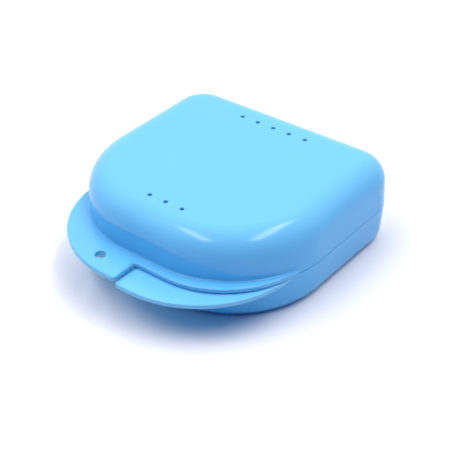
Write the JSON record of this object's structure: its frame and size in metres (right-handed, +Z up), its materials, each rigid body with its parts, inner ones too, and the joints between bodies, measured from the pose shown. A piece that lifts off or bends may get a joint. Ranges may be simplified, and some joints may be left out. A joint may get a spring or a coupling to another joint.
{
  "type": "denture case",
  "caption": "Shallow rounded plastic case for a denture: a deep vented lid hinged to a low base, with a finger lip on each half at the front.",
  "frame": {"origin": "on the surface that the case stands on, under the middle of the whole outline with its lips and hinge", "axes": "+Z up, -Y towards the finger lips at the front, +Y towards the hinge, +X to the right seen from the front"},
  "size_m": [0.076, 0.0878, 0.0266],
  "materials": {
    "base_plastic": "smooth moulded, glossy",
    "lid_plastic": "smooth moulded, glossy"
  },
  "bodies": {
    "base_body": {"base": "base_plastic"},
    "lid_body": {"lid": "lid_plastic"}
  },
  "joints": [
    {"name": "lid_hinge", "type": "hinge", "parent": "base_body", "child": "lid_body", "pos_m": [0, 0.04115, 0.01205], "axis": [-1, 0, 0], "range_deg": [0, 112]}
  ]
}
